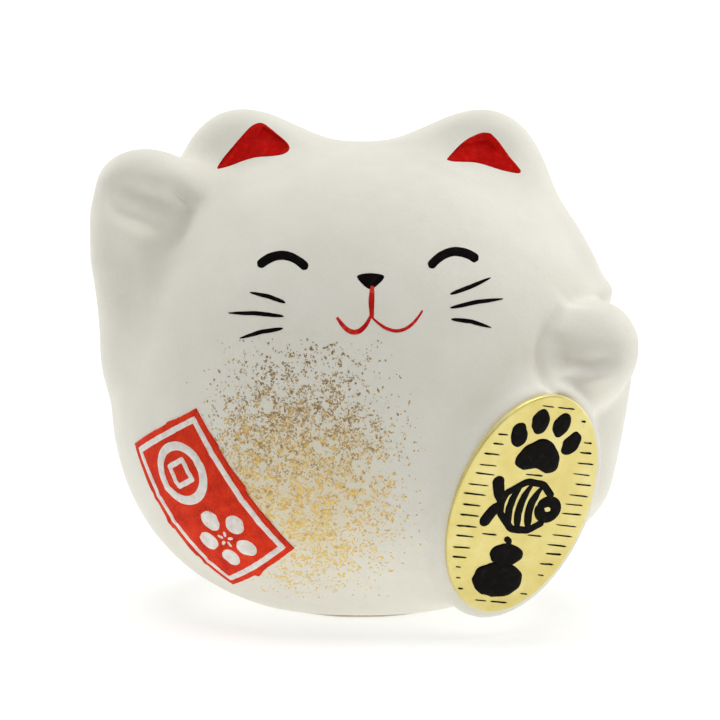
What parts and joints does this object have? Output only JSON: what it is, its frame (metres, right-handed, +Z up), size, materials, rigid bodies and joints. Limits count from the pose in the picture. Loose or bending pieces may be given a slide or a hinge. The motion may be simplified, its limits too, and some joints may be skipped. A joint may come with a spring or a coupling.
{
  "type": "beckoning cat figurine",
  "caption": "Round hollow ceramic beckoning cat covered in washi paper, with painted face, gold leaf, a red paper label and an oval gold plate, standing on a flat foot.",
  "frame": {"origin": "middle of the flat base, on the surface that the figurine stands on", "axes": "+Z up, -Y the way the cat faces, -X the side of its raised right paw"},
  "size_m": [0.0729, 0.0643, 0.0682],
  "materials": {
    "ceramic": "unglazed bisque, matte",
    "washi": "off-white handmade paper, matte, with fine fibres and wrinkles",
    "base_card": "plain card, matte",
    "ear_red": "deep red pigment on paper, matte",
    "black_ink": "black brush ink, satin",
    "mouth_red": "red brush paint, matte",
    "label_red": "vermilion washi, lightly wrinkled",
    "label_white": "white print on red paper, slightly uneven",
    "gold_plate": "pale gold foil, satin",
    "black_lacquer": "black lacquer, satin",
    "gold_leaf": "metallic gold leaf chips"
  },
  "bodies": {
    "root": {"ceramic_body": "ceramic", "washi_front_sheet": "washi", "washi_back_sheet": "washi", "base_paper_disc": "base_card", "right_ear_red": "ear_red", "left_ear_red": "ear_red", "right_eye": "black_ink", "left_eye": "black_ink", "nose": "black_ink", "mouth": "mouth_red", "right_whiskers": "black_ink", "left_whiskers": "black_ink", "label_paper": "label_red", "label_frame": "label_white", "label_motifs": "label_white", "koban_plate": "gold_plate", "koban_motifs": "black_lacquer", "koban_dashes": "black_lacquer", "gold_leaf_flecks": "gold_leaf"}
  },
  "joints": []
}
